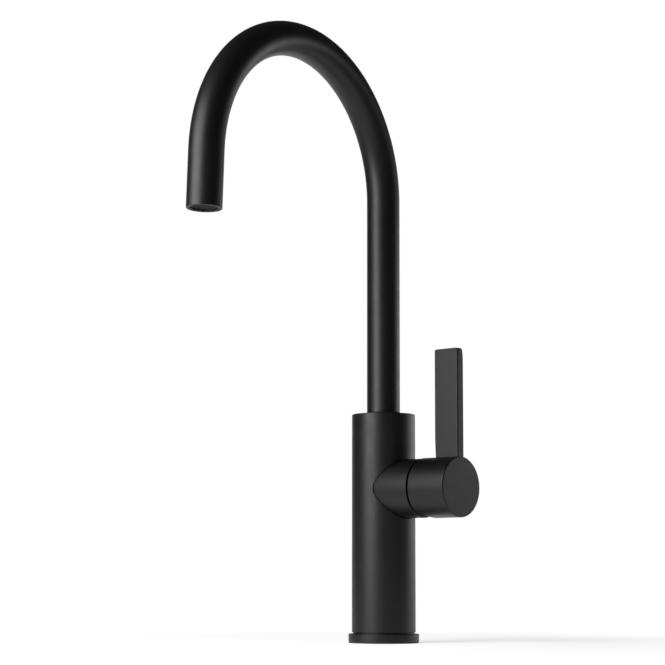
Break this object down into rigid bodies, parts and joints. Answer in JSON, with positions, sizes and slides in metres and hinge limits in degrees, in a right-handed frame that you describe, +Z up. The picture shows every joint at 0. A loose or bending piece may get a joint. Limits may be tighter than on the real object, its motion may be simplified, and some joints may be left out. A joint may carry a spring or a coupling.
{
  "type": "kitchen faucet",
  "caption": "Single lever kitchen faucet with a round column, a swivelling arched tube spout and a side mixing handle with a flat upright lever, matt black.",
  "frame": {"origin": "centre of the base ring's underside, on the deck", "axes": "+Z up along the column, +X along the handle axis, -Y to the front, towards the sink"},
  "size_m": [0.0966, 0.2381, 0.4317],
  "materials": {
    "matte_black": "matt powder coat",
    "black_plastic": "moulded",
    "grey_plastic": "moulded",
    "white_plastic": "moulded",
    "brass": "turned",
    "copper": "drawn tube",
    "steel": "turned",
    "ceramic": "lapped",
    "rubber": "moulded"
  },
  "bodies": {
    "body": {"body_shell": "matte_black", "base_ring": "matte_black", "base_seal": "rubber", "base_plug": "brass", "inlet_pipe_front": "copper", "inlet_pipe_rear": "copper", "valve_core": "brass", "valve_boss": "matte_black", "cartridge_base": "white_plastic", "cartridge_seals": "rubber", "fixed_disc": "ceramic", "cartridge_housing": "white_plastic", "cartridge_nut": "brass", "cartridge_cap": "black_plastic", "spout_bush": "black_plastic", "spout_washer": "white_plastic", "stop_screw": "steel"},
    "spout": {"spout_tube": "matte_black", "spout_foot": "brass", "spout_orings": "rubber", "aerator_rim": "black_plastic", "aerator_seal": "rubber", "aerator_grille": "grey_plastic", "aerator_filter": "white_plastic"},
    "rotor": {"rotor": "white_plastic", "pivot_pin": "steel"},
    "handle": {"spindle": "brass", "handle_knob": "matte_black", "handle_grub": "steel", "grub_plug": "black_plastic", "handle_lever": "matte_black"},
    "disc": {"moving_disc": "ceramic", "disc_carrier": "white_plastic"}
  },
  "joints": [
    {"name": "spout_swivel", "type": "hinge", "parent": "body", "child": "spout", "pos_m": [0, 0, 0.149], "axis": [0, 0, 1], "range_deg": [-65, 55]},
    {"name": "temperature_turn", "type": "hinge", "parent": "body", "child": "rotor", "pos_m": [0.024, 0, 0.1094], "axis": [1, 0, 0], "range_deg": [-45, 45]},
    {"name": "flow_tilt", "type": "hinge", "parent": "rotor", "child": "handle", "pos_m": [0.024, 0, 0.1094], "axis": [0, 1, 0], "range_deg": [0, 20]},
    {"name": "disc_slide", "type": "slide", "parent": "rotor", "child": "disc", "axis": [0, 0, 1], "range_m": [0, 0.0036]}
  ],
  "couplings": [
    {"joint": "disc_slide", "follows": "flow_tilt", "m_per_rad": 0.01}
  ]
}
